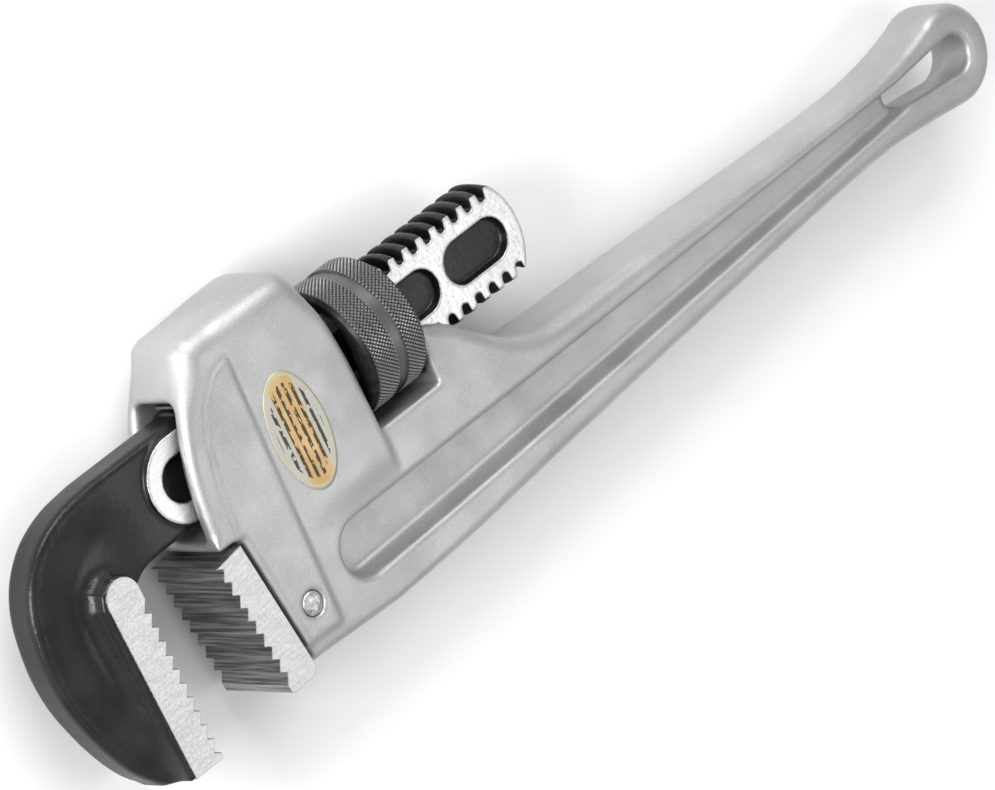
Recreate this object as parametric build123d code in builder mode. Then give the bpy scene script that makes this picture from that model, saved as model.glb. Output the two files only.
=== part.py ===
from build123d import *
import math
import os

# A straight pipe wrench lying on its side: jaws towards -X, handle towards +X,
# thickness along Z. All sizes are in millimetres. Most places below are given
# in tool coordinates: x along the shank's axis, y across it, z from mid-thickness.
nut_radius = 18.0
tool_x = -42.56
shank_y = 15.1
mid_z = nut_radius

# adjusting nut and the thread it runs on
nut_front = -18.0
nut_rear = 1.2
nut_edge = 1.4
nut_groove_x = -8.0
nut_groove_width = 3.4
nut_groove_depth = 0.8
thread_pitch = 5.08
thread_crest = 13.7
thread_root = 11.5
groove_crest_width = 3.2
groove_root_width = 2.0
groove_floor = 9.3
thread_gap = 0.4
thread_start = -45.3
thread_turns = 18
thread_slope = thread_pitch / (math.pi * (thread_crest + thread_root))
thread_reach = 12.0

# hook jaw
shank_half = 6.5
shank_front = -66.0
shank_rear = 49.0
shank_corner_x = 44.5
arm_half_height = 12.7
pad_x = -73.0
pad_radius = 11.2
pocket_half_width = 5.7
pocket_depth = 2.6
rear_pocket = (33.0, 22.0)
front_pocket = (-30.4, 98.0)
arm_root = -88.0
rim_half = 5.0
flank_half = 9.0
flank_inset = 6.0
flank_rear = -99.3
throat_bottom = -19.0
throat_middle = (-97.9, -14.6)
jaw_half = 13.0
overlap = 1.0
strip_back = -112.3
strip_face = -102.0
strip_top = -7.0
strip_tip = -59.8
strip_shoulder = 5.0
strip_slope = 1.5
teeth_top = -15.5
tip_land = 0.5

# both jaws' saw teeth
tooth_pitch = 3.9
tooth_rise = 0.72
tooth_depth = 1.9

# handle casting
casting_front = -90.0
head_half = 12.2
bulge_start = (-52.0, 12.2)
bulge_top = (-34.0, 13.95)
bulge_end = (-21.0, 13.8)
web_start = (-19.0, 11.9)
taper = [(40.0, 11.9), (110.0, 10.6), (175.0, 9.4), (220.0, 8.6)]
pad_height = 0.8
recess_floor = 4.0
passage_top = 16.5
passage_bottom = -16.6
passage_half = 7.5
window_bottom = -19.4
window_front = -19.4
window_rear = 2.6
handle_end = 215.0
past = 30.0

# heel jaw, pin, springs and label
tongue_half = 6.0
fit_gap = 0.3
pin_x = -60.0
pin_y = -43.5
pin_radius = 3.2
leaf_front = -65.0
leaf_rear = -26.0
leaf_y = 14.05
leaf_bow = 0.65
leaf_thickness = 0.7
leaf_half_width = 4.0
coil_x = -52.0
coil_radius = 2.8
coil_wire_radius = 0.6
coil_pitch = 2.4
coil_height = 9.0
coil_pocket_radius = 4.0
coil_pocket_depth = 11.5
label_x = -42.0
label_y = -6.0
label_length = 32.0
label_width = 16.6
label_thickness = 0.2


def place(x, y=0.0, z=0.0):
    return (tool_x + x, shank_y + y, mid_z + z)


def cross(x):
    # a section across the tool: its own x is Y and its own y is Z
    return Plane(origin=place(x), x_dir=(0, 1, 0), z_dir=(1, 0, 0))


def plan(y):
    # a section parallel to the outer edge: its own x is X and its own y is Z
    return Plane(origin=place(0, y), x_dir=(1, 0, 0), z_dir=(0, -1, 0))


side = Plane(origin=place(0))


def lifted(spot, flip=1, lift=0.0):
    # a place on the cheek's thickness line, on either face of the tool
    return (spot[0], flip * (spot[1] + lift))


def tooth_notches(start, end, face):
    # saw-tooth gaps along the line from start to end; face is +1 where the metal
    # lies towards -X and -1 where it lies towards +X
    run = Vector(end[0] - start[0], end[1] - start[1])
    step = run.normalized() * tooth_pitch
    inward = Vector(-face, 0)
    long_flank = tooth_rise if face > 0 else 1 - tooth_rise
    with BuildSketch(side) as notches:
        for tooth in range(int(run.length / tooth_pitch)):
            first = Vector(*start) + step * tooth
            gullet = first + step * long_flank + inward * tooth_depth
            last = first + step
            with BuildLine():
                Polyline(
                    (first.X - inward.X, first.Y),
                    (first.X, first.Y),
                    (gullet.X, gullet.Y),
                    (last.X, last.Y),
                    (last.X - inward.X, last.Y),
                    close=True,
                )
            make_face()
    return notches.sketch


# ---- handle: one casting from the loop round the shank to the hanging hole
heel_seat = [(-65.8, -56.4), (-70.1, -19.1), (-77.2, -18.7)]
brow = [heel_seat[-1], (-76.3, -9.0), (-74.2, 2.0), (-69.8, 14.0), (-63.2, 26.0)]
crown = [(-57.5, 30.0), (-31.0, 30.2)]
window_corner = (-22.9, 23.0)
window_middle = (-19.6, -1.0)
horn_top = [
    (window_rear, -4.6),
    (8.0, -6.2),
    (14.0, -9.6),
    (20.0, -15.0),
    (28.0, -21.8),
    (37.0, -25.6),
    (48.0, -26.6),
    (80.0, -27.6),
    (130.0, -29.6),
    (164.0, -30.5),
    (182.0, -29.2),
    (195.0, -26.6),
]
underside = [
    (200.0, -52.4),
    (185.0, -50.5),
    (168.0, -49.0),
    (140.0, -49.5),
    (100.0, -51.4),
    (50.0, -54.0),
    (0.0, -57.0),
    (-35.0, -58.2),
]
pad_outline = [
    (-54.0, -52.5),
    (-50.8, 20.8),
    (-57.0, 19.2),
    (-63.5, 13.5),
    (-67.2, 6.0),
    (-69.6, -4.0),
    (-71.4, -18.9),
    (-69.7, -19.3),
    (-66.3, -52.0),
]

recess_top = [(-38.5, -33.2), (176.0, -34.4)]
recess_nose = (179.0, -38.2)
recess_bottom = [(176.0, -42.0), (0.0, -47.8), (-38.5, -48.6)]
recess_heel = (-45.8, -41.0)
hole_top = [(179.5, -34.6), (200.5, -33.4)]
hole_bottom = [(200.5, -43.8), (179.5, -41.4)]
tongue_outline = [(-74.0, -23.6), (-56.0, -26.0), (-54.0, -50.0), (-71.0, -54.0)]

with BuildPart() as handle:
    with BuildSketch(side):
        with BuildLine():
            Polyline(*heel_seat)
            Spline(*brow)
            ThreePointArc(brow[-1], (-61.2, 28.8), crown[0])
            Line(*crown)
            Spline(crown[1], (-25.6, 28.4), window_corner, tangents=((1, 0), (0.25, -1)))
            Polyline(
                window_corner,
                window_middle,
                (window_front, window_bottom),
                (window_rear, window_bottom),
                horn_top[0],
            )
            Spline(*horn_top)
            ThreePointArc(horn_top[-1], (handle_end, -40.0), underside[0])
            Spline(*underside)
            Line(underside[-1], heel_seat[0])
        make_face()
    extrude(amount=bulge_top[1], both=True)
    # thickness along the tool: flat cheeks, a bulge behind them, a taper to the end
    with BuildSketch(plan(0)):
        for flip in (1, -1):
            with BuildLine():
                Line((casting_front, flip * head_half), lifted(bulge_start, flip))
                ThreePointArc(
                    lifted(bulge_start, flip), lifted(bulge_top, flip), lifted(bulge_end, flip)
                )
                Polyline(lifted(bulge_end, flip), lifted(web_start, flip), lifted(taper[0], flip))
                Spline(*[lifted(spot, flip) for spot in taper])
                Polyline(
                    lifted(taper[-1], flip),
                    (taper[-1][0], 0),
                    (casting_front, 0),
                    (casting_front, flip * head_half),
                )
            make_face()
    extrude(amount=4 * past, both=True, mode=Mode.INTERSECT)
    for face in (1, -1):
        # raised pad over the heel jaw, on each cheek
        with BuildSketch(side.offset(face * head_half)):
            with BuildLine():
                Polyline(*pad_outline, close=True)
            make_face()
        extrude(amount=face * pad_height)
        # long recess that leaves the web of the I section
        with BuildSketch(side.offset(face * recess_floor)):
            with BuildLine():
                Line(*recess_top)
                ThreePointArc(recess_top[1], recess_nose, recess_bottom[0])
                Polyline(*recess_bottom)
                ThreePointArc(recess_bottom[-1], recess_heel, recess_top[0])
            make_face()
        extrude(amount=face * past, mode=Mode.SUBTRACT)
    # passage for the shank, then the open saddle behind the nut
    with BuildSketch(cross(casting_front)):
        with Locations(((passage_top + passage_bottom) / 2, 0)):
            Rectangle(passage_top - passage_bottom, 2 * passage_half)
    extrude(amount=window_front - casting_front + 2 * overlap, mode=Mode.SUBTRACT)
    with BuildSketch(cross(window_front + 2 * overlap)):
        with Locations((passage_bottom + past / 2, 0)):
            Rectangle(past, 2 * passage_half)
    extrude(amount=past * 2, mode=Mode.SUBTRACT)
    # hanging hole
    with BuildSketch(side):
        with BuildLine():
            Line(*hole_top)
            ThreePointArc(hole_top[1], (206.0, -38.6), hole_bottom[0])
            Line(*hole_bottom)
            ThreePointArc(hole_bottom[1], (176.0, -38.0), hole_top[0])
        make_face()
    extrude(amount=past, both=True, mode=Mode.SUBTRACT)
    # slot for the heel jaw's tongue, and the hole for its pin
    with BuildSketch(side):
        with BuildLine():
            Polyline(*tongue_outline, close=True)
        make_face()
        offset(amount=fit_gap, kind=Kind.INTERSECTION)
    extrude(amount=tongue_half + fit_gap, both=True, mode=Mode.SUBTRACT)
    with BuildSketch(side):
        with Locations((pin_x, pin_y)):
            Circle(pin_radius)
    extrude(amount=past, both=True, mode=Mode.SUBTRACT)
    # blind pocket under the shank for the coil spring
    with BuildSketch(plan(passage_bottom)):
        with Locations((coil_x, 0)):
            Circle(coil_pocket_radius)
    extrude(amount=coil_pocket_depth, mode=Mode.SUBTRACT)
handle.part.label = "handle"

# ---- hook jaw: threaded shank, arm and toothed jaw in one forging
jaw_middle = Vector(-99, -20)
jaw_back = [
    (-97.0, 12.7),
    (-106.0, 11.8),
    (-113.2, 9.6),
    (-118.8, 6.3),
    (-123.8, 1.2),
    (-127.2, -5.2),
    (-129.0, -12.4),
    (-129.9, -20.4),
    (-129.4, -29.0),
    (-127.2, -37.8),
    (-124.2, -46.0),
    (-120.6, -53.0),
    (-116.4, -58.0),
    (-112.6, -60.4),
]


def pulled_in(point, inset):
    spot = Vector(*point)
    return spot + (jaw_middle - spot).normalized() * inset


def hook_profile(inset, rear):
    # outline of the hook as far as rear, its back pulled in towards the jaw's middle
    back = [pulled_in(point, inset) for point in jaw_back]
    gullet_x = strip_face - tooth_depth
    with BuildSketch(side) as profile:
        with BuildLine():
            Spline(*back)
            Polyline(
                back[-1],
                (strip_back + strip_slope, strip_tip),
                (gullet_x, strip_tip),
                (gullet_x, throat_bottom),
            )
            Spline(
                (gullet_x, throat_bottom),
                throat_middle,
                (arm_root, -arm_half_height),
                tangents=((0, 1), (1, 0)),
            )
            Polyline((arm_root, -arm_half_height), (arm_root, arm_half_height - inset), back[0])
        make_face()
        with Locations((rear + past / 2, 0)):
            Rectangle(past, 2 * past, mode=Mode.SUBTRACT)
    return profile.sketch


def thread_notches(edge):
    # one row of thread gaps, drawn at the lower end of their slanting cut; edge is
    # +1 on the outer edge of the shank and -1 on the edge over the handle
    offset_x = (0 if edge > 0 else thread_pitch / 2) - edge * thread_slope * thread_reach
    with BuildSketch(side.offset(-thread_reach)) as notches:
        for turn in range(thread_turns):
            x = thread_start + turn * thread_pitch + offset_x
            with BuildLine():
                Polyline(
                    (x - groove_root_width / 2, edge * groove_floor),
                    (x - groove_crest_width / 2, edge * thread_crest),
                    (x - groove_crest_width / 2, edge * (thread_crest + overlap)),
                    (x + groove_crest_width / 2, edge * (thread_crest + overlap)),
                    (x + groove_crest_width / 2, edge * thread_crest),
                    (x + groove_root_width / 2, edge * groove_floor),
                    close=True,
                )
            make_face()
    return notches.sketch


with BuildPart() as hook_jaw:
    # shank: a bar with round edges, cut with the thread and closed by a rounded end
    with BuildSketch(side):
        with BuildLine():
            Polyline(
                (shank_corner_x, -thread_crest),
                (shank_front, -thread_crest),
                (shank_front, thread_crest),
                (shank_corner_x, thread_crest),
            )
            ThreePointArc(
                (shank_corner_x, thread_crest),
                (shank_rear, 0),
                (shank_corner_x, -thread_crest),
            )
        make_face()
    extrude(amount=shank_half, both=True)
    with BuildSketch(cross(shank_front)):
        Circle(thread_crest)
    extrude(amount=shank_rear - shank_front, mode=Mode.INTERSECT)
    for edge in (1, -1):
        extrude(
            thread_notches(edge),
            amount=2 * thread_reach * math.hypot(1, thread_slope),
            dir=(edge * thread_slope, 0, 1),
            mode=Mode.SUBTRACT,
        )
    # arm between the shank and the hook, thinner than the ground pad on it
    with BuildSketch(side):
        with Locations(((arm_root + shank_front + overlap) / 2, 0)):
            Rectangle(shank_front + overlap - arm_root, 2 * arm_half_height)
    extrude(amount=rim_half, both=True)
    with BuildSketch(side):
        with Locations((pad_x, 0)):
            Circle(pad_radius)
        with Locations(((pad_x + shank_front + overlap) / 2, 0)):
            Rectangle(shank_front + overlap - pad_x, 2 * pad_radius)
    extrude(amount=shank_half, both=True)
    # hook: a narrow rim round the back, thicker flanks that stay out of the passage
    # when the jaws close, and the wide toothed block
    extrude(hook_profile(0, arm_root), amount=rim_half, both=True)
    extrude(hook_profile(flank_inset, flank_rear), amount=flank_half, both=True)
    with BuildSketch(side):
        with BuildLine():
            Polyline(
                (strip_back, strip_top - strip_shoulder),
                (strip_back + strip_slope, strip_tip),
                (strip_face, strip_tip),
                (strip_face, strip_top - strip_shoulder),
            )
            ThreePointArc(
                (strip_face, strip_top - strip_shoulder),
                ((strip_face + strip_back) / 2, strip_top),
                (strip_back, strip_top - strip_shoulder),
            )
        make_face()
    extrude(amount=jaw_half, both=True)
    extrude(
        tooth_notches((strip_face, teeth_top), (strip_face, strip_tip + tip_land), 1),
        amount=jaw_half + overlap,
        both=True,
        mode=Mode.SUBTRACT,
    )
    # forged pockets in both flats of the shank
    for face in (1, -1):
        with BuildSketch(side.offset(face * (shank_half - pocket_depth))):
            for centre_x, length in (rear_pocket, front_pocket):
                with Locations((centre_x, 0)):
                    SlotOverall(length, 2 * pocket_half_width)
        extrude(amount=face * past, mode=Mode.SUBTRACT)
hook_jaw.part.label = "hook_jaw"

# ---- nut that moves the hook jaw along its thread
# Its ridge is a trapezoid carried along a helix, in mesh with the shank's gaps.
ridge_root = thread_crest + 2 * thread_gap
ridge_tip = thread_root + thread_gap
ridge_middle = (ridge_root + ridge_tip) / 2
ridge_half_depth = (ridge_root - ridge_tip) / 2
# a helix along X starts on the +Z side, a quarter turn past the outer edge
ridge_turns_before = math.ceil((nut_front - thread_start) / thread_pitch) - 2 + 0.25
ridge_turns = math.ceil((nut_rear - nut_front) / thread_pitch) + 3

with BuildPart() as nut_thread:
    with BuildLine() as ridge_line:
        Helix(
            thread_pitch,
            ridge_turns * thread_pitch,
            ridge_middle,
            center=place(thread_start + ridge_turns_before * thread_pitch),
            direction=(1, 0, 0),
        )
    ridge_foot = ridge_line.line @ 0
    ridge_outward = Vector(0, ridge_foot.Y - shank_y, ridge_foot.Z - mid_z)
    with BuildSketch(Plane(origin=ridge_foot, x_dir=ridge_outward, z_dir=ridge_line.line % 0)):
        with BuildLine():
            Polyline(
                (-ridge_half_depth, -groove_root_width / 2 + thread_gap),
                (ridge_half_depth, -groove_crest_width / 2 + thread_gap),
                (ridge_half_depth, groove_crest_width / 2 - thread_gap),
                (-ridge_half_depth, groove_root_width / 2 - thread_gap),
                close=True,
            )
        make_face()
    sweep(path=ridge_line.line, is_frenet=True)
    with BuildSketch(cross(nut_front)):
        Circle(nut_radius)
    extrude(amount=nut_rear - nut_front, mode=Mode.INTERSECT)

with BuildPart() as adjusting_nut:
    with BuildSketch(plan(0)):
        with BuildLine():
            Polyline(
                (nut_front, thread_crest + thread_gap),
                (nut_front, nut_radius - nut_edge),
                (nut_front + nut_edge, nut_radius),
                (nut_groove_x - nut_groove_width / 2, nut_radius),
                (nut_groove_x - nut_groove_width / 2, nut_radius - nut_groove_depth),
                (nut_groove_x + nut_groove_width / 2, nut_radius - nut_groove_depth),
                (nut_groove_x + nut_groove_width / 2, nut_radius),
                (nut_rear - nut_edge, nut_radius),
                (nut_rear, nut_radius - nut_edge),
                (nut_rear, thread_crest + thread_gap),
                close=True,
            )
        make_face()
    revolve(axis=Axis(place(0), (1, 0, 0)))
    add(nut_thread.part)
adjusting_nut.part.label = "adjusting_nut"

# ---- heel jaw: a toothed steel block with a tongue that the pin holds in the casting
heel_face = [(-80.8, -21.0), (-76.8, -58.2)]
heel_back = [(-71.6, -19.8), (-67.2, -56.6), (-69.0, -58.2), (-75.4, -58.6)]

with BuildPart() as heel_jaw:
    with BuildSketch(side):
        with BuildLine():
            Polyline(heel_face[0], *heel_back, heel_face[1], close=True)
        make_face()
    extrude(amount=jaw_half, both=True)
    extrude(
        tooth_notches(heel_face[0], heel_face[1], -1),
        amount=jaw_half + overlap,
        both=True,
        mode=Mode.SUBTRACT,
    )
    with BuildSketch(side):
        with BuildLine():
            Polyline(*tongue_outline, close=True)
        make_face()
    extrude(amount=tongue_half, both=True)
    with BuildSketch(side):
        with Locations((pin_x, pin_y)):
            Circle(pin_radius)
    extrude(amount=past, both=True, mode=Mode.SUBTRACT)
heel_jaw.part.label = "heel_jaw"

with BuildPart() as heel_jaw_pin:
    with BuildSketch(side):
        with Locations((pin_x, pin_y)):
            Circle(pin_radius)
    extrude(amount=head_half + pad_height, both=True)
    chamfer(heel_jaw_pin.edges().filter_by(GeomType.CIRCLE), 0.5)
heel_jaw_pin.part.label = "heel_jaw_pin"

# ---- springs that steady the hook jaw, and the oval label
leaf_under = [
    (leaf_front, leaf_y),
    ((leaf_front + leaf_rear) / 2, leaf_y + leaf_bow),
    (leaf_rear, leaf_y),
]
leaf_over = [lifted(spot, 1, leaf_thickness) for spot in leaf_under]

with BuildPart() as flat_spring:
    with BuildSketch(side):
        with BuildLine():
            ThreePointArc(*leaf_under)
            ThreePointArc(*leaf_over)
            Line(leaf_under[0], leaf_over[0])
            Line(leaf_under[2], leaf_over[2])
        make_face()
    extrude(amount=leaf_half_width, both=True)
flat_spring.part.label = "flat_spring"

coil_foot = passage_bottom - coil_pocket_depth + coil_wire_radius + 0.1
with BuildPart() as coil_spring:
    with BuildLine() as coil_line:
        Helix(
            coil_pitch, coil_height, coil_radius, center=place(coil_x, coil_foot), direction=(0, 1, 0)
        )
    with BuildSketch(Plane(origin=coil_line.line @ 0, z_dir=coil_line.line % 0)):
        Circle(coil_wire_radius)
    sweep(path=coil_line.line, is_frenet=True)
coil_spring.part.label = "coil_spring"

bulge_line = [bulge_start, bulge_top, bulge_end]
label_line = [lifted(spot, 1, label_thickness) for spot in bulge_line]

with BuildPart() as rating_label:
    with BuildSketch(side.offset(head_half)):
        with Locations((label_x, label_y)):
            Ellipse(label_width / 2, label_length / 2)
    extrude(amount=past)
    with BuildSketch(plan(0)):
        with BuildLine():
            ThreePointArc(*bulge_line)
            ThreePointArc(*label_line)
            Line(bulge_line[0], label_line[0])
            Line(bulge_line[2], label_line[2])
        make_face()
    extrude(amount=past, both=True, mode=Mode.INTERSECT)
rating_label.part.label = "rating_label"

os.makedirs("parts", exist_ok=True)
for piece in (
    handle,
    hook_jaw,
    adjusting_nut,
    heel_jaw,
    heel_jaw_pin,
    flat_spring,
    coil_spring,
    rating_label,
):
    export_step(piece.part, f"parts/{piece.part.label}.step")
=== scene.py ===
import math
import bpy
import bmesh
import numpy as np
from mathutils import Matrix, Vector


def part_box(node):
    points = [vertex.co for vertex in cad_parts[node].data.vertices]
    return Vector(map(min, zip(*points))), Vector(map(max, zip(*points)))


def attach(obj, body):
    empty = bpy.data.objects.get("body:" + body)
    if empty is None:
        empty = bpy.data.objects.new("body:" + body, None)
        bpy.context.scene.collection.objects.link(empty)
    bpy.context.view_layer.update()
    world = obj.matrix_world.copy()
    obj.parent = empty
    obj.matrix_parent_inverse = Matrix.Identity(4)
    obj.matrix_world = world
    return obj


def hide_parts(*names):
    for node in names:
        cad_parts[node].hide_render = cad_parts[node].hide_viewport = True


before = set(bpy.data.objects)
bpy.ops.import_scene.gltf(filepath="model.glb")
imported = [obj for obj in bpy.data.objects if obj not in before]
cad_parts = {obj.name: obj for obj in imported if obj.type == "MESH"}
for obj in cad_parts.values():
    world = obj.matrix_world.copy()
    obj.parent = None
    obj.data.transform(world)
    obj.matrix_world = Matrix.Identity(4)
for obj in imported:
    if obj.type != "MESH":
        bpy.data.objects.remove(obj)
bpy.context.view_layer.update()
import openvdb
from mathutils import Matrix, Vector

nutLow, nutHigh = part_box("adjusting_nut")
mm = 0.001
# tool coordinates are in millimetres: x along the shank from the nut's rear face,
# y across the tool from the shank's axis, z up from mid-thickness
nutRearX = 1.2
toolOrigin = Vector((nutHigh.x - nutRearX * mm, (nutLow.y + nutHigh.y) / 2, (nutLow.z + nutHigh.z) / 2))
print("frame loaded, tool origin", tuple(round(v, 5) for v in toolOrigin))


def toScene(x, y, z=0.0):
    return toolOrigin + Vector((x, y, z)) * mm


# the castings are distance fields in millimetres, negative in the metal, with blended corners
def throughPoints(points, steps=8):
    # smooth line through the given points
    pts = [np.array(p, float) for p in points]
    pts = [2 * pts[0] - pts[1]] + pts + [2 * pts[-1] - pts[-2]]
    line = []
    for a, b, c, d in zip(pts, pts[1:], pts[2:], pts[3:]):
        for i in range(steps):
            t = i / steps
            line.append(0.5 * (2 * b + (c - a) * t + (2 * a - 5 * b + 4 * c - d) * t ** 2
                               + (3 * b - a - 3 * c + d) * t ** 3))
    line.append(pts[-2])
    return line


def arcThrough(start, middle, end, steps=14):
    # points on the circle through three points
    (ax, ay), (bx, by), (cx, cy) = start, middle, end
    d = 2 * (ax * (by - cy) + bx * (cy - ay) + cx * (ay - by))
    a2, b2, c2 = ax * ax + ay * ay, bx * bx + by * by, cx * cx + cy * cy
    ux = (a2 * (by - cy) + b2 * (cy - ay) + c2 * (ay - by)) / d
    uy = (a2 * (cx - bx) + b2 * (ax - cx) + c2 * (bx - ax)) / d
    radius = math.hypot(ax - ux, ay - uy)
    first = math.atan2(ay - uy, ax - ux)
    mid = (math.atan2(by - uy, bx - ux) - first) % math.tau
    last = (math.atan2(cy - uy, cx - ux) - first) % math.tau
    if mid > last:
        last -= math.tau
    angles = [first + last * i / steps for i in range(steps + 1)]
    return [(ux + radius * math.cos(a), uy + radius * math.sin(a)) for a in angles]


def lineDistance(px, py, line):
    # distance from each point of the grid to an open line
    best = np.full(px.shape, 1e9)
    for (ax, ay), (bx, by) in zip(line, line[1:]):
        dx, dy = bx - ax, by - ay
        size = dx * dx + dy * dy
        if size < 1e-12:
            continue
        t = np.clip(((px - ax) * dx + (py - ay) * dy) / size, 0, 1)
        best = np.minimum(best, (px - ax - t * dx) ** 2 + (py - ay - t * dy) ** 2)
    return np.sqrt(best)


def outlineDistance(px, py, outline):
    # the same for a closed outline, negative inside it
    line = list(outline) + [outline[0]]
    inside = np.zeros(px.shape, bool)
    for (ax, ay), (bx, by) in zip(line, line[1:]):
        if ay == by:
            continue
        crosses = (ay > py) != (by > py)
        inside ^= crosses & (px < (bx - ax) * (py - ay) / (by - ay) + ax)
    away = lineDistance(px, py, line)
    return np.where(inside, -away, away)


def ease(value, low, high):
    # 0 below low, 1 above high, smooth between
    t = np.clip((value - low) / (high - low), 0, 1)
    return t * t * (3 - 2 * t)


def common(a, b, radius):
    # what both have, with the edge between them rounded
    u, v = np.maximum(radius + a, 0), np.maximum(radius + b, 0)
    return np.minimum(-radius, np.maximum(a, b)) + np.sqrt(u * u + v * v)


def joined(a, b, radius):
    # both together, with a fillet in the corner
    u, v = np.maximum(radius - a, 0), np.maximum(radius - b, 0)
    return np.maximum(radius, np.minimum(a, b)) - np.sqrt(u * u + v * v)


def without(a, b, radius):
    # b cut out of a
    return common(a, -b, radius)


def fieldGrid(low, high, cell):
    # flat x and y, and z as a third axis, so plane shapes are worked out once
    axes = [np.arange(lo, hi + cell, cell) for lo, hi in zip(low, high)]
    px, py = np.meshgrid(axes[0], axes[1], indexing="ij")
    return px, py, axes[2][None, None, :]


def pieceFrom(name, verts, faces, material, smooth=True):
    mesh = bpy.data.meshes.new(name)
    mesh.from_pydata([tuple(v) for v in verts], [], [tuple(f) for f in faces])
    mesh.update()
    mesh.polygons.foreach_set("use_smooth", [smooth] * len(mesh.polygons))
    piece = bpy.data.objects.new(name, mesh)
    bpy.context.scene.collection.objects.link(piece)
    mesh.materials.append(material)
    return piece


def cleaned(piece, relax=0, weld=False):
    # faces turned outward; welded or smoothed where asked
    edit = bmesh.new()
    edit.from_mesh(piece.data)
    if weld:
        bmesh.ops.remove_doubles(edit, verts=edit.verts, dist=1e-7)
        bmesh.ops.dissolve_degenerate(edit, edges=edit.edges, dist=1e-7)
    bmesh.ops.recalc_face_normals(edit, faces=edit.faces)
    for _ in range(relax):
        bmesh.ops.smooth_vert(edit, verts=edit.verts, factor=0.5, use_axis_x=True, use_axis_y=True,
                              use_axis_z=True)
    edit.to_mesh(piece.data)
    edit.free()
    return piece


def skinned(name, field, low, cell, material, relax=2):
    # mesh of the zero surface of a field
    band = 3 * cell
    grid = openvdb.FloatGrid(background=float(band))
    grid.copyFromArray(np.clip(field, -band, band).astype(np.float32))
    points, _, quads = grid.convertToPolygons(isovalue=0.0, adaptivity=0.0)
    verts = (points * cell + np.array(low)) * mm + np.array(toolOrigin)
    piece = cleaned(pieceFrom(name, verts, quads, material), relax)
    print(name, len(piece.data.polygons), "faces")
    return piece


# one finish: its material, its shader and the few kinds of node it is made from
class finishNodes:
    def __init__(self, name):
        self.material = bpy.data.materials.new(name)
        self.material.use_nodes = True
        self.tree = self.material.node_tree
        self.shader = self.tree.nodes["Principled BSDF"]
        self.place = self.add("ShaderNodeTexCoord").outputs["Object"]

    def add(self, kind, **inputs):
        node = self.tree.nodes.new(kind)
        for key, value in inputs.items():
            self.feed(node.inputs[key], value)
        return node

    def feed(self, socket, value):
        if isinstance(value, bpy.types.NodeSocket):
            self.tree.links.new(value, socket)
        else:
            socket.default_value = value

    def noise(self, scale, detail=4.0, rough=0.55, place=None):
        node = self.add("ShaderNodeTexNoise", Scale=scale, Detail=detail, Roughness=rough)
        self.feed(node.inputs["Vector"], place or self.place)
        return node.outputs["Fac"]

    def stretched(self, scale):
        node = self.add("ShaderNodeMapping", Vector=self.place)
        node.inputs["Scale"].default_value = scale
        return node.outputs["Vector"]

    def ramp(self, value, low, high, start=0.0, end=1.0):
        node = self.add("ShaderNodeMapRange", Value=value)
        node.interpolation_type = "SMOOTHSTEP"
        for key, v in (("From Min", low), ("From Max", high), ("To Min", start), ("To Max", end)):
            node.inputs[key].default_value = v
        return node.outputs["Result"]

    def calc(self, kind, a, b=0.0):
        node = self.tree.nodes.new("ShaderNodeMath")
        node.operation = kind
        self.feed(node.inputs[0], a)
        self.feed(node.inputs[1], b)
        return node.outputs[0]

    def times(self, *values):
        product = values[0]
        for value in values[1:]:
            product = self.calc("MULTIPLY", product, value)
        return product

    def length(self, a, b):
        squares = self.calc("ADD", self.times(a, a), self.times(b, b))
        return self.calc("SQRT", squares)

    def mix(self, factor, a, b):
        node = self.tree.nodes.new("ShaderNodeMix")
        node.data_type = "RGBA"
        self.feed(node.inputs["Factor"], factor)
        for socket, value in ((node.inputs[6], a), (node.inputs[7], b)):
            self.feed(socket, value if isinstance(value, bpy.types.NodeSocket) else (*value, 1.0))
        return node.outputs[2]

    def split(self, vector):
        return self.add("ShaderNodeSeparateXYZ", Vector=vector).outputs

    def bump(self, height, distance, strength=1.0, under=None):
        node = self.add("ShaderNodeBump", Height=height, Strength=strength, Distance=distance)
        if under:
            self.feed(node.inputs["Normal"], under)
        return node.outputs["Normal"]

    def finish(self, colour, roughness, normal=None):
        self.feed(self.shader.inputs["Base Color"], colour)
        self.feed(self.shader.inputs["Roughness"], roughness)
        if normal:
            self.feed(self.shader.inputs["Normal"], normal)
        return self.material


castLook = {
    "light": (0.50, 0.505, 0.51), "dark": (0.40, 0.405, 0.41), "sparkle": (0.78, 0.78, 0.78), "metallic": 0.85,
    "grain": 2600.0, "grainDepth": 0.00006, "waveDepth": 0.00012, "smooth": 0.42, "rough": 0.54,
}


def makeCastAluminium():
    n = finishNodes("castAluminium")
    n.shader.inputs["Metallic"].default_value = castLook["metallic"]
    cloud = n.noise(28.0, 3.0)  # slow stains
    grain = n.noise(castLook["grain"], 2.0)  # blasted skin
    tone = n.mix(n.ramp(cloud, 0.3, 0.7), castLook["dark"], castLook["light"])
    tone = n.mix(n.ramp(grain, 0.35, 0.75, 0.0, 0.25), tone, castLook["sparkle"])
    rough = n.ramp(n.noise(90.0), 0.3, 0.7, castLook["smooth"], castLook["rough"])  # satin, a little uneven
    wave = n.bump(n.noise(220.0, 2.0), castLook["waveDepth"], 0.5)
    return n.finish(tone, rough, n.bump(grain, castLook["grainDepth"], 0.6, wave))


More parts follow.
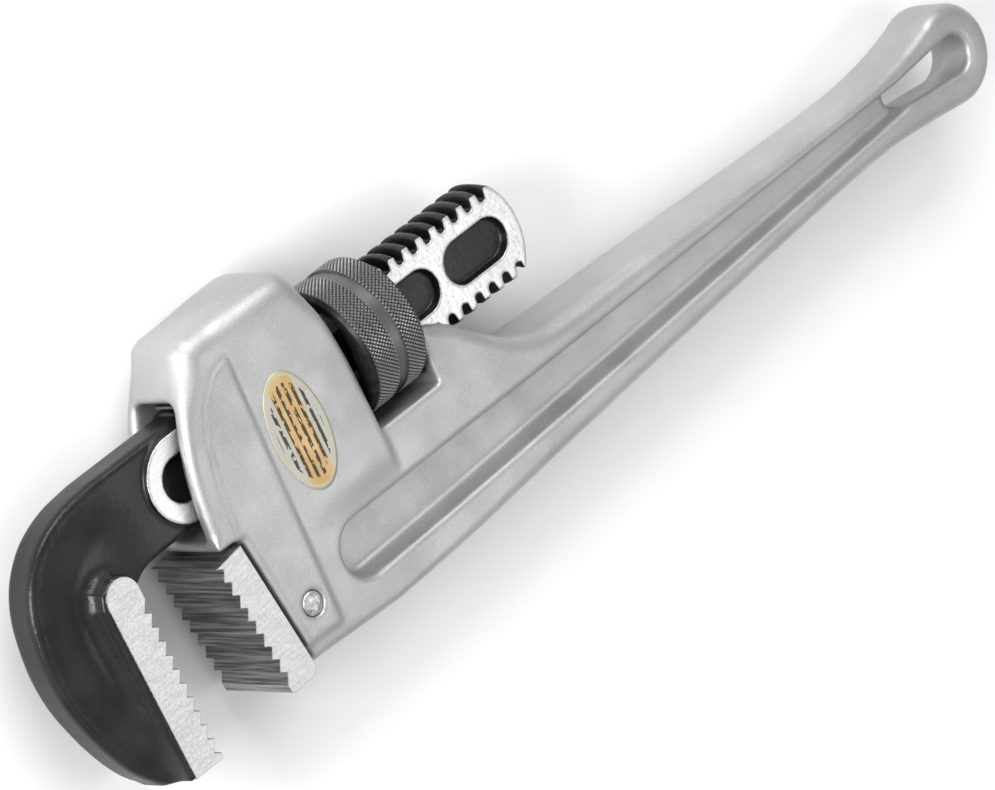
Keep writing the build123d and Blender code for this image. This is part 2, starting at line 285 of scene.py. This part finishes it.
forgingLook = {
    "black": (0.003, 0.003, 0.0035), "grey": (0.012, 0.012, 0.013),
    "ground": (0.78, 0.78, 0.78), "groundDark": (0.68, 0.68, 0.68), "groundMetallic": 0.9, "gloss": 0.42,
    "flatLow": 6.28, "flatHigh": 6.36, "flatEnd": 7.0, "groundFrom": -87.0,
    "smooth": 0.28, "rough": 0.40, "scaleDepth": 0.00022,
}


def makeBlackForging():
    n = finishNodes("blackForging")
    look = forgingLook
    x, _, z = n.split(n.place)
    height = n.calc("ABSOLUTE", n.calc("SUBTRACT", z, toolOrigin.z))
    flat = n.ramp(height, look["flatLow"] * mm, look["flatHigh"] * mm)
    front = toolOrigin.x + look["groundFrom"] * mm
    ahead = n.ramp(x, front, front + 0.5 * mm)
    low = n.calc("LESS_THAN", height, look["flatEnd"] * mm)
    ground = n.times(flat, ahead, low)  # 1 on the ground flats of the shank
    mottle = n.noise(60.0, 5.0)
    black = n.mix(n.ramp(mottle, 0.35, 0.7), look["black"], look["grey"])
    lines = n.noise(1.0, 3.0, 0.5, n.stretched((120.0, 2400.0, 120.0)))
    bright = n.mix(n.ramp(lines, 0.3, 0.7), look["groundDark"], look["ground"])
    n.feed(n.shader.inputs["Metallic"], n.ramp(ground, 0.0, 1.0, 0.0, look["groundMetallic"]))
    n.shader.inputs["Specular IOR Level"].default_value = look["gloss"]
    rough = n.ramp(n.noise(40.0, 4.0), 0.3, 0.7, look["smooth"], look["rough"])
    scale = n.bump(n.noise(700.0, 4.0), look["scaleDepth"], 0.6)
    return n.finish(n.mix(ground, black, bright), rough, scale)


groundLook = {
    "light": (0.56, 0.56, 0.56), "dark": (0.47, 0.47, 0.47), "metallic": 0.85, "smooth": 0.30, "rough": 0.42,
    "toothLight": (0.46, 0.455, 0.45), "toothDark": (0.12, 0.12, 0.122), "brushDepth": 0.00003,
}


def makeToothSteel():
    n = finishNodes("toothSteel")
    look = groundLook
    facing = n.add("ShaderNodeTexCoord").outputs["Normal"]
    side = n.calc("GREATER_THAN", n.calc("ABSOLUTE", n.split(facing)[2]), 0.55)  # the two broad sides
    grind = n.noise(1.0, 3.0, 0.6, n.stretched((1500.0, 1500.0, 40.0)))
    brushed = n.noise(1.0, 3.0, 0.6, n.stretched((200.0, 1800.0, 200.0)))
    bright = n.mix(n.ramp(brushed, 0.3, 0.7), look["dark"], look["light"])
    tooth = n.mix(n.ramp(grind, 0.35, 0.7), look["toothDark"], look["toothLight"])
    n.shader.inputs["Metallic"].default_value = look["metallic"]
    rough = n.ramp(grind, 0.3, 0.7, look["smooth"], look["rough"])
    return n.finish(n.mix(side, tooth, bright), rough, n.bump(brushed, look["brushDepth"], 0.5))


nutLook = {
    "valley": (0.016, 0.016, 0.017), "peak": (0.32, 0.32, 0.32), "band": (0.15, 0.15, 0.155),
    "smudge": (0.1, 0.1, 0.1), "metallic": 0.8, "smooth": 0.32, "rough": 0.45,
    "knurlLow": 17.55, "knurlHigh": 17.95, "bandMiddle": -8.0, "bandHalf": 1.75, "bandInside": 16.5,
}


def makeKnurlSteel():
    n = finishNodes("knurlSteel")
    look = nutLook
    x, y, z = n.split(n.place)
    dy = n.calc("SUBTRACT", y, toolOrigin.y)
    dz = n.calc("SUBTRACT", z, toolOrigin.z)
    reach = n.length(dy, dz)
    peak = n.ramp(reach, look["knurlLow"] * mm, look["knurlHigh"] * mm)
    middle = toolOrigin.x + look["bandMiddle"] * mm
    fromMiddle = n.calc("ABSOLUTE", n.calc("SUBTRACT", x, middle))
    groove = n.calc("LESS_THAN", fromMiddle, look["bandHalf"] * mm)
    groove = n.times(groove, n.calc("GREATER_THAN", reach, look["bandInside"] * mm))
    tone = n.mix(peak, look["valley"], look["peak"])
    tone = n.mix(groove, tone, look["band"])
    tone = n.mix(n.ramp(n.noise(300.0), 0.4, 0.8, 0.0, 0.3), tone, look["smudge"])
    n.shader.inputs["Metallic"].default_value = look["metallic"]
    return n.finish(tone, n.ramp(n.noise(200.0), 0.3, 0.7, look["smooth"], look["rough"]))


springLook = {"dark": (0.16, 0.16, 0.17), "light": (0.30, 0.30, 0.31), "metallic": 0.9, "rough": 0.35,
              "scratchDepth": 0.00003}


def makeSpringSteel():
    n = finishNodes("springSteel")
    n.shader.inputs["Metallic"].default_value = springLook["metallic"]
    tone = n.mix(n.ramp(n.noise(150.0), 0.3, 0.7), springLook["dark"], springLook["light"])
    return n.finish(tone, springLook["rough"], n.bump(n.noise(900.0), springLook["scratchDepth"], 0.4))


pinLook = {"dark": (0.35, 0.35, 0.35), "light": (0.75, 0.75, 0.75), "metallic": 1.0, "smooth": 0.25,
           "rough": 0.45, "dentDepth": 0.0002}


def makePinSteel():
    n = finishNodes("pinSteel")
    n.shader.inputs["Metallic"].default_value = pinLook["metallic"]
    tone = n.mix(n.ramp(n.noise(700.0), 0.35, 0.65), pinLook["dark"], pinLook["light"])
    rough = n.ramp(n.noise(500.0), 0.3, 0.7, pinLook["smooth"], pinLook["rough"])
    return n.finish(tone, rough, n.bump(n.noise(800.0), pinLook["dentDepth"], 0.7))


labelPlace = {"x": -42.0, "y": -6.0, "halfLength": 16.0, "halfWidth": 8.3, "lift": 0.12, "gap": 0.02}
labelLook = {
    "goldDark": (0.46, 0.30, 0.12), "gold": (0.58, 0.40, 0.19), "side": (0.42, 0.41, 0.37),
    "border": (0.46, 0.43, 0.32), "ink": (0.05, 0.04, 0.03), "goldHalf": 0.42, "borderFrom": 0.90,
    "rules": 4.2, "ruleHalf": 0.24, "inkedTo": 0.80, "metallic": 0.25,
}


def makeLabelFoil():
    n = finishNodes("labelFoil")
    look, at = labelLook, labelPlace
    x, y, _ = n.split(n.place)
    # u across the oval and v along it, each 1 at its edge
    u = n.calc("DIVIDE", n.calc("SUBTRACT", x, toolOrigin.x + at["x"] * mm), at["halfWidth"] * mm)
    v = n.calc("DIVIDE", n.calc("SUBTRACT", y, toolOrigin.y + at["y"] * mm), at["halfLength"] * mm)
    spread = n.length(u, v)
    border = n.ramp(spread, look["borderFrom"], look["borderFrom"] + 0.03)
    tone = n.mix(n.ramp(n.noise(120.0), 0.3, 0.7), look["goldDark"], look["gold"])
    side = n.ramp(n.calc("ABSOLUTE", u), look["goldHalf"], look["goldHalf"] + 0.04)
    tone = n.mix(side, tone, look["side"])
    # plain ruled lines along the oval, broken into dashes of uneven length
    row = n.calc("FRACT", n.times(u, look["rules"]))
    rule = n.calc("LESS_THAN", n.calc("ABSOLUTE", n.calc("SUBTRACT", row, 0.5)), look["ruleHalf"])
    dashes = n.noise(1.0, 2.0, 0.5, n.stretched((900.0, 420.0, 0.0)))
    inside = n.calc("LESS_THAN", spread, look["inkedTo"])
    tone = n.mix(n.times(rule, n.ramp(dashes, 0.42, 0.46), inside), tone, look["ink"])
    tone = n.mix(border, tone, look["border"])
    n.shader.inputs["Metallic"].default_value = look["metallic"]
    return n.finish(tone, n.ramp(n.noise(300.0), 0.3, 0.7, 0.35, 0.5))


castAluminium = makeCastAluminium()
blackForging = makeBlackForging()
toothSteel = makeToothSteel()
knurlSteel = makeKnurlSteel()
springSteel = makeSpringSteel()
pinSteel = makePinSteel()
labelFoil = makeLabelFoil()
print("materials made")

handleShape = {
    "cell": 0.7, "headHalf": 12.2, "webHalf": 11.9, "bulge": 2.0, "padHeight": 0.8, "floor": 4.0,
    "rimEdge": 1.5, "floorFillet": 1.9, "outerEdge": 4.2, "headEdge": 2.8, "crownEdge": 7.0, "windowEdge": 1.4,
    "passageHalf": 7.5, "passageTop": 16.5, "passageFloor": -16.6, "passageCorner": 2.2, "passageRear": -10.0,
    "mouthEdge": 2.2, "saddleEdge": 0.9, "seatEdge": 0.8, "padFillet": 0.5, "padSlope": 1.5, "draft": 0.12,
    "slotFlare": 2.2, "slotFlareDepth": 9.0, "slotEdge": 1.8, "tongueHalf": 6.3, "pinAt": (-60.0, -43.5),
    "pinHole": 3.3,
}


def handleOutline():
    # round the casting from the heel jaw's seat over the crown, the nut's window and the handle's end
    line = [(-65.8, -56.4), (-70.1, -19.1), (-77.2, -18.7)]
    line += throughPoints([(-77.2, -18.7), (-76.3, -9.0), (-74.2, 2.0), (-69.8, 14.0), (-63.2, 26.0)])[1:]
    line += arcThrough((-63.2, 26.0), (-61.2, 28.8), (-57.5, 30.0))[1:]
    line += throughPoints([(-31.0, 30.2), (-27.2, 29.4), (-24.3, 26.8), (-22.9, 23.0)])
    line += [(-19.6, -1.0), (-19.4, -19.4), (2.6, -19.4)]
    line += throughPoints([(2.6, -4.6), (8.0, -6.2), (14.0, -9.6), (20.0, -15.0), (28.0, -21.8),
                           (37.0, -25.6), (48.0, -26.6), (80.0, -27.6), (130.0, -29.6), (164.0, -30.5),
                           (182.0, -29.2), (195.0, -26.6)])
    line += arcThrough((195.0, -26.6), (215.0, -40.0), (200.0, -52.4), 24)[1:]
    line += throughPoints([(200.0, -52.4), (185.0, -50.5), (168.0, -49.0), (140.0, -49.5), (100.0, -51.4),
                           (50.0, -54.0), (0.0, -57.0), (-35.0, -58.2)])[1:]
    return line


def recessOutline():
    line = throughPoints([(-38.5, -33.2), (60.0, -33.8), (176.0, -34.4)], 4)
    line += arcThrough((176.0, -34.4), (179.0, -38.2), (176.0, -42.0))[1:]
    line += [(0.0, -47.8), (-38.5, -48.6)]
    line += arcThrough((-38.5, -48.6), (-45.8, -41.0), (-38.5, -33.2))[1:-1]
    return line


def hangingOutline():
    line = arcThrough((179.5, -41.4), (176.0, -38.0), (179.5, -34.6))
    return line + arcThrough((200.5, -33.4), (206.0, -38.6), (200.5, -43.8))


padCorners = [(-54.0, -52.5), (-50.8, 20.8), (-57.0, 19.2), (-63.5, 13.5), (-67.2, 6.0), (-69.6, -4.0),
              (-71.4, -18.9), (-69.7, -19.3), (-66.3, -52.0)]
tongueRoom = [(-75, -23.2), (-55.7, -25.7), (-53.7, -50.3), (-72, -54.3)]


def cheekHalf(px, py):
    # half thickness of the casting's sides
    s = handleShape
    halves = [s["headHalf"], s["webHalf"], s["webHalf"], 10.6, 9.4, 8.6]
    along = np.interp(px, [-90, -20, 40, 110, 175, 220], halves)
    swell = np.clip(1 - ((px + 28.0) / 24.0) ** 2, 0, 1) * (1 - ease(px, -21.6, -18.8))
    return along + s["bulge"] * swell * ease(py, -33.0, -23.0)


def handleField(px, py, pz):
    s = handleShape
    high = np.abs(pz)
    plane = outlineDistance(px, py, handleOutline())
    half = cheekHalf(px, py)
    soft = s["outerEdge"] + (s["headEdge"] - s["outerEdge"]) * ease(-px, -30.0, 20.0)
    soft = soft + (s["crownEdge"] - soft) * ease(py, 10.0, 26.0)
    nearWindow = ease(26.0 - np.abs(px + 8.4), 9.0, 15.0)
    nearWindow = nearWindow * ease(py, -26.0, -20.0) * (1 - ease(py, 12.0, 24.0))
    soft = soft + (s["windowEdge"] - soft) * nearWindow
    nearSeat = ease(-px, 64.0, 69.0) * ease(-py, 14.0, 18.0)
    soft = soft + (s["seatEdge"] - soft) * nearSeat
    body = common(plane[:, :, None], high - half[:, :, None], soft[:, :, None])
    pad = outlineDistance(px, py, padCorners)[:, :, None]
    padTop = s["headHalf"] + s["padHeight"]
    raised = np.maximum(pad + s["padSlope"] * np.maximum(high - s["headHalf"], 0), high - padTop)
    body = joined(body, raised, s["padFillet"])
    recess = outlineDistance(px, py, recessOutline())[:, :, None] + s["draft"] * (half[:, :, None] - high)
    hollow = common(recess, s["floor"] - high, s["floorFillet"])
    body = without(body, hollow, s["rimEdge"])
    middle = (s["passageTop"] + s["passageFloor"]) / 2
    reach = (s["passageTop"] - s["passageFloor"]) / 2
    passage = common(np.abs(py - middle)[:, :, None] - reach, high - s["passageHalf"], s["passageCorner"])
    passage = np.maximum(passage, (px - s["passageRear"])[:, :, None])
    body = without(body, passage, s["mouthEdge"])
    saddle = np.maximum((s["passageFloor"] - py)[:, :, None], high - s["passageHalf"])
    saddle = np.maximum(saddle, (s["passageRear"] - px)[:, :, None])
    body = without(body, saddle, s["saddleEdge"])
    flare = s["slotFlare"] * ease(-pz, 0.0, s["slotFlareDepth"])  # the hanging slot opens out underneath
    body = without(body, outlineDistance(px, py, hangingOutline())[:, :, None] - flare, s["slotEdge"])
    tongue = outlineDistance(px, py, tongueRoom)[:, :, None]
    body = np.maximum(body, -np.maximum(tongue, high - s["tongueHalf"]))
    pinX, pinY = s["pinAt"]
    pin = np.hypot(px - pinX, py - pinY)[:, :, None] - s["pinHole"]
    body = np.maximum(body, -(pin + 0 * high))
    return body


low = (-81.0, -61.0, -16.8)
grid = fieldGrid(low, (218.0, 31.0, 16.8), handleShape["cell"])
casting = skinned("handleCasting", handleField(*grid), low, handleShape["cell"], castAluminium)
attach(casting, "handle")
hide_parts("handle")

hookShape = {
    "cell": 0.45, "rim": 5.0, "web": 8.0, "tip": 11.0, "shankHalf": 6.5, "pitch": 5.08, "crest": 13.7,
    "notchFloor": 9.3, "notchTop": 3.2, "notchRoot": 2.0, "threadStart": -45.3, "turns": 18,
    "pocketHalf": 5.7, "pocketFloor": 3.9, "pocketDraft": 0.15, "jawHalf": 12.6, "jawFace": -101.9,
    "armEdge": 2.0, "blockFillet": 4.5, "tipCut": -60.2, "tipDraft": 0.03, "bossX": -73.0, "bossRadius": 11.2,
    "endX": 30.0, "endRadius": 19.0, "slopeRadius": 12.6, "flank": 4.4, "gapRoot": 0.7,
}
jawBack = [(-97.0, 12.7), (-106.0, 11.8), (-113.2, 9.6), (-118.8, 6.3), (-123.8, 1.2), (-127.2, -5.2),
           (-129.0, -12.4), (-129.9, -20.4), (-129.4, -29.0), (-127.2, -37.8), (-124.2, -46.0),
           (-120.6, -53.0), (-116.4, -58.0), (-112.6, -60.4)]
blockOutline = [(-113.4, -12.0), (-112.0, -8.6), (-109.0, -7.0), (-106.0, -7.4), (-104.2, -10.0),
                (-103.9, -60.4), (-113.0, -60.4)]


def hookOutline():
    line = [(-60.0, 12.7)] + throughPoints(jawBack)
    line += [(-110.0, -60.4), (-104.0, -59.6), (-104.0, -19.0)]
    line += throughPoints([(-104.0, -19.0), (-101.6, -16.6), (-97.9, -14.6), (-93.2, -13.1),
                           (-88.0, -12.7)])[1:]
    return line + [(-60.0, -12.7)]


def slotDistance(px, py, start, end, half):
    return lineDistance(px, py, [(start + half, 0.0), (end - half, 0.0)]) - half


def threadGaps(px, py, pz):
    # slanting trapezoid gaps on both narrow edges of the shank
    s = hookShape
    slope = s["pitch"] / (2 * math.pi * s["slopeRadius"])
    gaps = None
    for edge in (1, -1):
        phase = 0.0 if edge > 0 else s["pitch"] / 2
        along = px[:, :, None] - s["threadStart"] - phase - edge * slope * pz
        turn = np.clip(np.round(along / s["pitch"]), 0, s["turns"] - 1)
        away = np.abs(along - turn * s["pitch"])
        up = edge * py[:, :, None]
        widening = (s["notchTop"] - s["notchRoot"]) / 2 * (up - s["notchFloor"]) / s["flank"]
        half = s["notchRoot"] / 2 + widening
        gap = common(away - half, s["notchFloor"] - up, s["gapRoot"])
        gaps = gap if gaps is None else np.minimum(gaps, gap)
    return gaps


def hookField(px, py, pz):
    s = hookShape
    high = np.abs(pz)
    back = lineDistance(px, py, [(-60.0, 12.7)] + throughPoints(jawBack))
    web = s["web"] + (s["tip"] - s["web"]) * ease(-py, 34.0, 56.0)
    half = s["rim"] + (web - s["rim"]) * ease(back, 1.5, 12.0) * ease(-px, 88.0, 106.0)
    body = common(outlineDistance(px, py, hookOutline())[:, :, None], high - half[:, :, None], s["armEdge"])
    block = outlineDistance(px, py, blockOutline)[:, :, None]  # thick backing of the tooth strip
    body = joined(body, common(block, high - s["jawHalf"], 0.8), s["blockFillet"])
    body = np.maximum(body, high - s["jawHalf"])
    body = common(body, (s["tipCut"] - py)[:, :, None] + s["tipDraft"] * high, 0.8)
    body = without(body, np.maximum(s["jawFace"] - px, py + 20.0)[:, :, None] + 0 * high, 0.2)
    # ground boss round the front pocket, then the shank with its rounded end
    boss = np.maximum(np.abs(py) - s["bossRadius"], s["bossX"] - px)
    boss = np.minimum(np.hypot(px - s["bossX"], py) - s["bossRadius"], boss)
    boss = np.maximum(boss, px + 60.0)[:, :, None]
    body = joined(body, common(boss, high - s["shankHalf"], 0.35), 0.9)
    body = np.maximum(body, (px + 62.0)[:, :, None])
    end = np.hypot(px - s["endX"], py) - s["endRadius"]
    bar = np.maximum(end, s["endX"] - px) * (px > s["endX"]) + (px <= s["endX"]) * (np.abs(py) - 30.0)
    bar = np.maximum(bar, -66.0 - px)
    bar = common(bar[:, :, None], np.hypot(py[:, :, None] + 0 * pz, pz) - s["crest"], 1.0)
    bar = common(bar, high - s["shankHalf"], 0.4)
    bar = without(bar, threadGaps(px, py, pz), 0.3)
    body = np.minimum(body, bar)
    pockets = np.minimum(slotDistance(px, py, 22.0, 44.0, s["pocketHalf"]),
                         slotDistance(px, py, -79.4, 18.6, s["pocketHalf"]))[:, :, None]
    pockets = common(pockets + s["pocketDraft"] * (s["shankHalf"] - high), s["pocketFloor"] - high, 0.7)
    return without(body, pockets, 0.3)


low = (-130.0, -61.5, -14.4)
grid = fieldGrid(low, (50.8, 15.6, 14.4), hookShape["cell"])
forging = skinned("hookForging", hookField(*grid), low, hookShape["cell"], blackForging, 1)
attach(forging, "hook")
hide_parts("hook_jaw")


def toothLine(start, end, pitch, longFlank, depth, inward):
    # saw teeth from start to end; inward points into the metal
    a, b = Vector(start), Vector(end)
    count = int((b - a).length / pitch)
    step = (b - a).normalized() * pitch
    line = []
    for tooth in range(count):
        first = a + step * tooth
        line += [tuple(first), tuple(first + step * longFlank + Vector(inward) * depth)]
    line.append(tuple(a + step * count))
    return line


def plateFrom(name, outline, half, bevel, material):
    # flat plate of one outline, its edges broken
    verts = [toScene(x, y, z) for z in (-half, half) for x, y in outline]
    count = len(outline)
    faces = [tuple(range(count)), tuple(range(2 * count - 1, count - 1, -1))]
    faces += [(i, (i + 1) % count, (i + 1) % count + count, i + count) for i in range(count)]
    piece = cleaned(pieceFrom(name, verts, faces, material, False))
    soft = piece.modifiers.new("edges", "BEVEL")
    soft.width = bevel * mm
    soft.segments = 2
    soft.limit_method = "ANGLE"
    soft.harden_normals = False
    return piece


# toothed steel: the strip on the hook jaw, the heel jaw and its tongue
teeth = {"pitch": 3.9, "longFlank": 0.72, "depth": 1.85, "half": 13.0, "tongueHalf": 6.0, "edge": 0.18}
stripTeeth = toothLine((-102.0, -15.5), (-102.0, -59.3), teeth["pitch"], teeth["longFlank"],
                       teeth["depth"], (-1, 0))
stripOutline = stripTeeth + [(-102.4, -59.8), (-111.6, -59.8)]
stripOutline += arcThrough((-112.3, -12.0), (-107.2, -7.0), (-102.0, -12.0), 18)
strip = plateFrom("hookToothStrip", stripOutline, teeth["half"], teeth["edge"], toothSteel)
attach(strip, "hook")

heelTeeth = toothLine((-80.8, -21.0), (-76.8, -58.2), teeth["pitch"], 1 - teeth["longFlank"],
                      teeth["depth"], (1, 0))
heelOutline = heelTeeth + [(-76.8, -58.2), (-75.4, -58.6), (-69.0, -58.2), (-67.2, -56.6), (-71.6, -19.8)]
heel = plateFrom("heelJaw", heelOutline, teeth["half"], teeth["edge"], toothSteel)
tongueOutline = [(-74, -23.6), (-56, -26), (-54, -50), (-71, -54)]
tongue = plateFrom("heelJawTongue", tongueOutline, teeth["tongueHalf"], 0.2, toothSteel)
for piece in (heel, tongue):
    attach(piece, "handle")
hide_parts("heel_jaw")
print("teeth cut", len(stripTeeth) // 2, "and", len(heelTeeth) // 2)

nutShape = {
    "radius": 18.0, "front": -18.0, "rear": nutRearX, "around": 96, "pitch": 1.3, "depth": 0.5,
    "sharpness": 1.6, "grooveLow": -9.7, "grooveHigh": -6.3, "grooveDepth": 0.8, "edge": 1.4, "bore": 14.5,
    "ridge": 2.6, "ridgeTop": 0.6, "ridgeFoot": 1.2, "rings": 97, "stepsPerKnurl": 6,
}


def nutOuter(x, angle):
    # diamond knurl: two sets of slanting grooves cross
    s = nutShape
    if s["grooveLow"] <= x <= s["grooveHigh"]:
        return s["radius"] - s["grooveDepth"]
    around = s["around"] * angle / math.tau
    u = abs((around + x / s["pitch"]) % 1 - 0.5) * 2
    v = abs((around - x / s["pitch"]) % 1 - 0.5) * 2
    edge = max(0.0, s["front"] + s["edge"] - x, x - s["rear"] + s["edge"])
    return min(s["radius"] - s["depth"] * max(u, v) ** s["sharpness"], s["radius"] - edge)


def nutBore(x, angle):
    # trapezoid ridge on a helix, in mesh with the gaps of the shank
    s = nutShape
    turn = ((x - hookShape["threadStart"]) / hookShape["pitch"] - angle / math.tau + 0.5) % 1 - 0.5
    away = abs(turn) * hookShape["pitch"]
    rise = min(max((s["ridgeFoot"] - away) / (s["ridgeFoot"] - s["ridgeTop"]), 0.0), 1.0)
    return s["bore"] - s["ridge"] * rise


def makeNut():
    s = nutShape
    columns = s["around"] * s["stepsPerKnurl"]
    xs = list(np.linspace(s["front"], s["rear"], s["rings"]))
    verts, faces = [], []
    for surface in (nutOuter, nutBore):
        for x in xs:
            for c in range(columns):
                angle = math.tau * c / columns
                r = surface(x, angle)
                verts.append(toScene(x, r * math.cos(angle), r * math.sin(angle)))
    rows = len(xs)
    inner = rows * columns
    for i in range(rows - 1):
        for c in range(columns):
            d = (c + 1) % columns
            quad = (i * columns + c, i * columns + d, (i + 1) * columns + d, (i + 1) * columns + c)
            faces += [quad, tuple(inner + v for v in reversed(quad))]
    last = (rows - 1) * columns
    for c in range(columns):
        d = (c + 1) % columns
        faces += [(c, inner + c, inner + d, d), (last + c, last + d, inner + last + d, inner + last + c)]
    piece = cleaned(pieceFrom("adjustingNut", verts, faces, knurlSteel))
    piece.data.set_sharp_from_angle(angle=math.radians(50))
    return piece


nut = makeNut()
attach(nut, "nut")
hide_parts("adjusting_nut")
print("nut knurled", len(nut.data.polygons), "faces")


def makeLabel():
    # thin oval foil that follows the bulge of the cheek
    s = labelPlace
    rings, spokes = 14, 72
    verts, faces = [], []
    for side in (0.0, s["lift"]):
        for ring in range(rings + 1):
            for spoke in range(spokes):
                angle = math.tau * spoke / spokes
                x = s["x"] + s["halfWidth"] * ring / rings * math.cos(angle)
                y = s["y"] + s["halfLength"] * ring / rings * math.sin(angle)
                z = float(cheekHalf(np.array([x]), np.array([y]))[0])
                verts.append(toScene(x, y, z + side + s["gap"]))
    size = (rings + 1) * spokes
    for top in (0, 1):
        for ring in range(rings):
            for spoke in range(spokes):
                a = top * size + ring * spokes + spoke
                b = top * size + ring * spokes + (spoke + 1) % spokes
                quad = (a, a + spokes, b + spokes, b)
                faces.append(quad if top else quad[::-1])
    for spoke in range(spokes):
        a = rings * spokes + spoke
        b = rings * spokes + (spoke + 1) % spokes
        faces.append((a, b, b + size, a + size))
    return cleaned(pieceFrom("ratingLabel", verts, faces, labelFoil), weld=True)


label = makeLabel()
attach(label, "handle")
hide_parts("rating_label")

pinShape = {"radius": 3.2, "half": 13.0, "dimples": 0.12, "dimpled": 0.8, "spokes": 64}


def makePin():
    # turned pin, peened over at both ends
    s = pinShape
    spokes = s["spokes"]
    pinX, pinY = handleShape["pinAt"]
    profile = [(0.15, s["half"]), (0.9, s["half"]), (1.7, s["half"] - 0.05), (2.4, s["half"] - 0.2),
               (2.85, s["half"] - 0.4), (3.1, s["half"] - 0.7), (s["radius"], s["half"] - 1.1)]
    profile += [(s["radius"], z) for z in (8.0, 4.0, 0.0)]
    profile += [(r, -z) for r, z in reversed(profile[:-1])]
    verts, faces = [], []
    for r, z in profile:
        for k in range(spokes):
            angle = math.tau * k / spokes
            blow = abs(math.sin(3 * angle + 2.1 * r) * math.cos(2 * angle - 3.4 * r))  # uneven hammer marks
            dent = s["dimples"] * blow if abs(z) > s["half"] - s["dimpled"] else 0.0
            height = z - math.copysign(dent, z)
            verts.append(toScene(pinX + r * math.cos(angle), pinY + r * math.sin(angle), height))
    for i in range(len(profile) - 1):
        for k in range(spokes):
            j = (k + 1) % spokes
            faces.append((i * spokes + k, i * spokes + j, (i + 1) * spokes + j, (i + 1) * spokes + k))
    faces += [tuple(range(spokes)), tuple(range(len(verts) - spokes, len(verts)))]
    return cleaned(pieceFrom("heelJawPin", verts, faces, pinSteel))


pin = makePin()
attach(pin, "handle")
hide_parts("heel_jaw_pin")

for node in ("flat_spring", "coil_spring"):  # both keep their CAD shape and get only their finish
    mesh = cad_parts[node].data
    mesh.materials.clear()
    mesh.materials.append(springSteel)
print("label, pin and springs done")

jaws = (-0.12, 0.0, 0.02)
studio = {
    "floor": (0.94, 0.94, 0.94), "floorDark": (0.88, 0.88, 0.88), "floorRough": 0.9,
    "floorHalf": 3, "sky": 0.56,
    "boxes": {  # place, size, power and aim of each softbox
        "keySoftbox": ((0.05, 1.1, 0.75), (1.1, 0.5), 10.0, (0, 0, 0.01)),
        "fillSoftbox": ((-0.9, -0.5, 1.2), (1.2, 1.2), 2.0, (0, 0, 0.01)),
        "rimSoftbox": ((-1.05, 0.34, 0.52), (0.5, 0.4), 11.0, jaws),
        "topSoftbox": ((0.28, -0.25, 0.72), (0.4, 0.4), 0.75, jaws),
    },
}


def makeFloor():
    n = finishNodes("paleFloor")
    tone = n.mix(n.ramp(n.noise(3.0), 0.3, 0.7), studio["floorDark"], studio["floor"])
    material = n.finish(tone, studio["floorRough"])
    r = studio["floorHalf"]
    verts = [(-r, -r, 0), (r, -r, 0), (r, r, 0), (-r, r, 0)]
    floor = pieceFrom("floor", verts, [(0, 1, 2, 3)], material, False)


def addSoftbox(name, place, size, power, aim):
    data = bpy.data.lights.new(name, "AREA")
    data.shape = "RECTANGLE"
    data.size, data.size_y = size
    data.energy = power
    lamp = bpy.data.objects.new(name, data)
    lamp.location = place
    lamp.rotation_euler = (Vector(aim) - Vector(place)).to_track_quat("-Z", "Y").to_euler()
    bpy.context.scene.collection.objects.link(lamp)


makeFloor()
for boxName, (place, size, power, aim) in studio["boxes"].items():
    addSoftbox(boxName, place, size, power, aim)
world = bpy.data.worlds.new("studioAir")
world.use_nodes = True
air = world.node_tree.nodes["Background"]
air.inputs["Color"].default_value = (1, 1, 1, 1)
air.inputs["Strength"].default_value = studio["sky"]
bpy.context.scene.world = world
bpy.context.scene.view_settings.view_transform = "Standard"
print("floor and lights set")

# the camera stands far off, rolled so the handle rises to the right
shot = {
    "from": (-825.35, 461.36, 1165.27), "along": (0.55716, -0.32625, -0.76363),
    "right": (0.64853, -0.40337, 0.64552), "lens": 222.5, "sensor": 36.0, "farthest": 20.0,
}
camData = bpy.data.cameras.new("camera")
camData.lens = shot["lens"]
camData.sensor_width = shot["sensor"]
camData.clip_end = shot["farthest"]
camera = bpy.data.objects.new("camera", camData)
bpy.context.scene.collection.objects.link(camera)
along = Vector(shot["along"]).normalized()
right = (Vector(shot["right"]) - along * Vector(shot["right"]).dot(along)).normalized()
upward = right.cross(along)
turn = [[right[i], upward[i], -along[i]] for i in range(3)]
camera.matrix_world = Matrix.Translation(toScene(*shot["from"])) @ Matrix(turn).to_4x4()
bpy.context.scene.camera = camera
print("camera set")
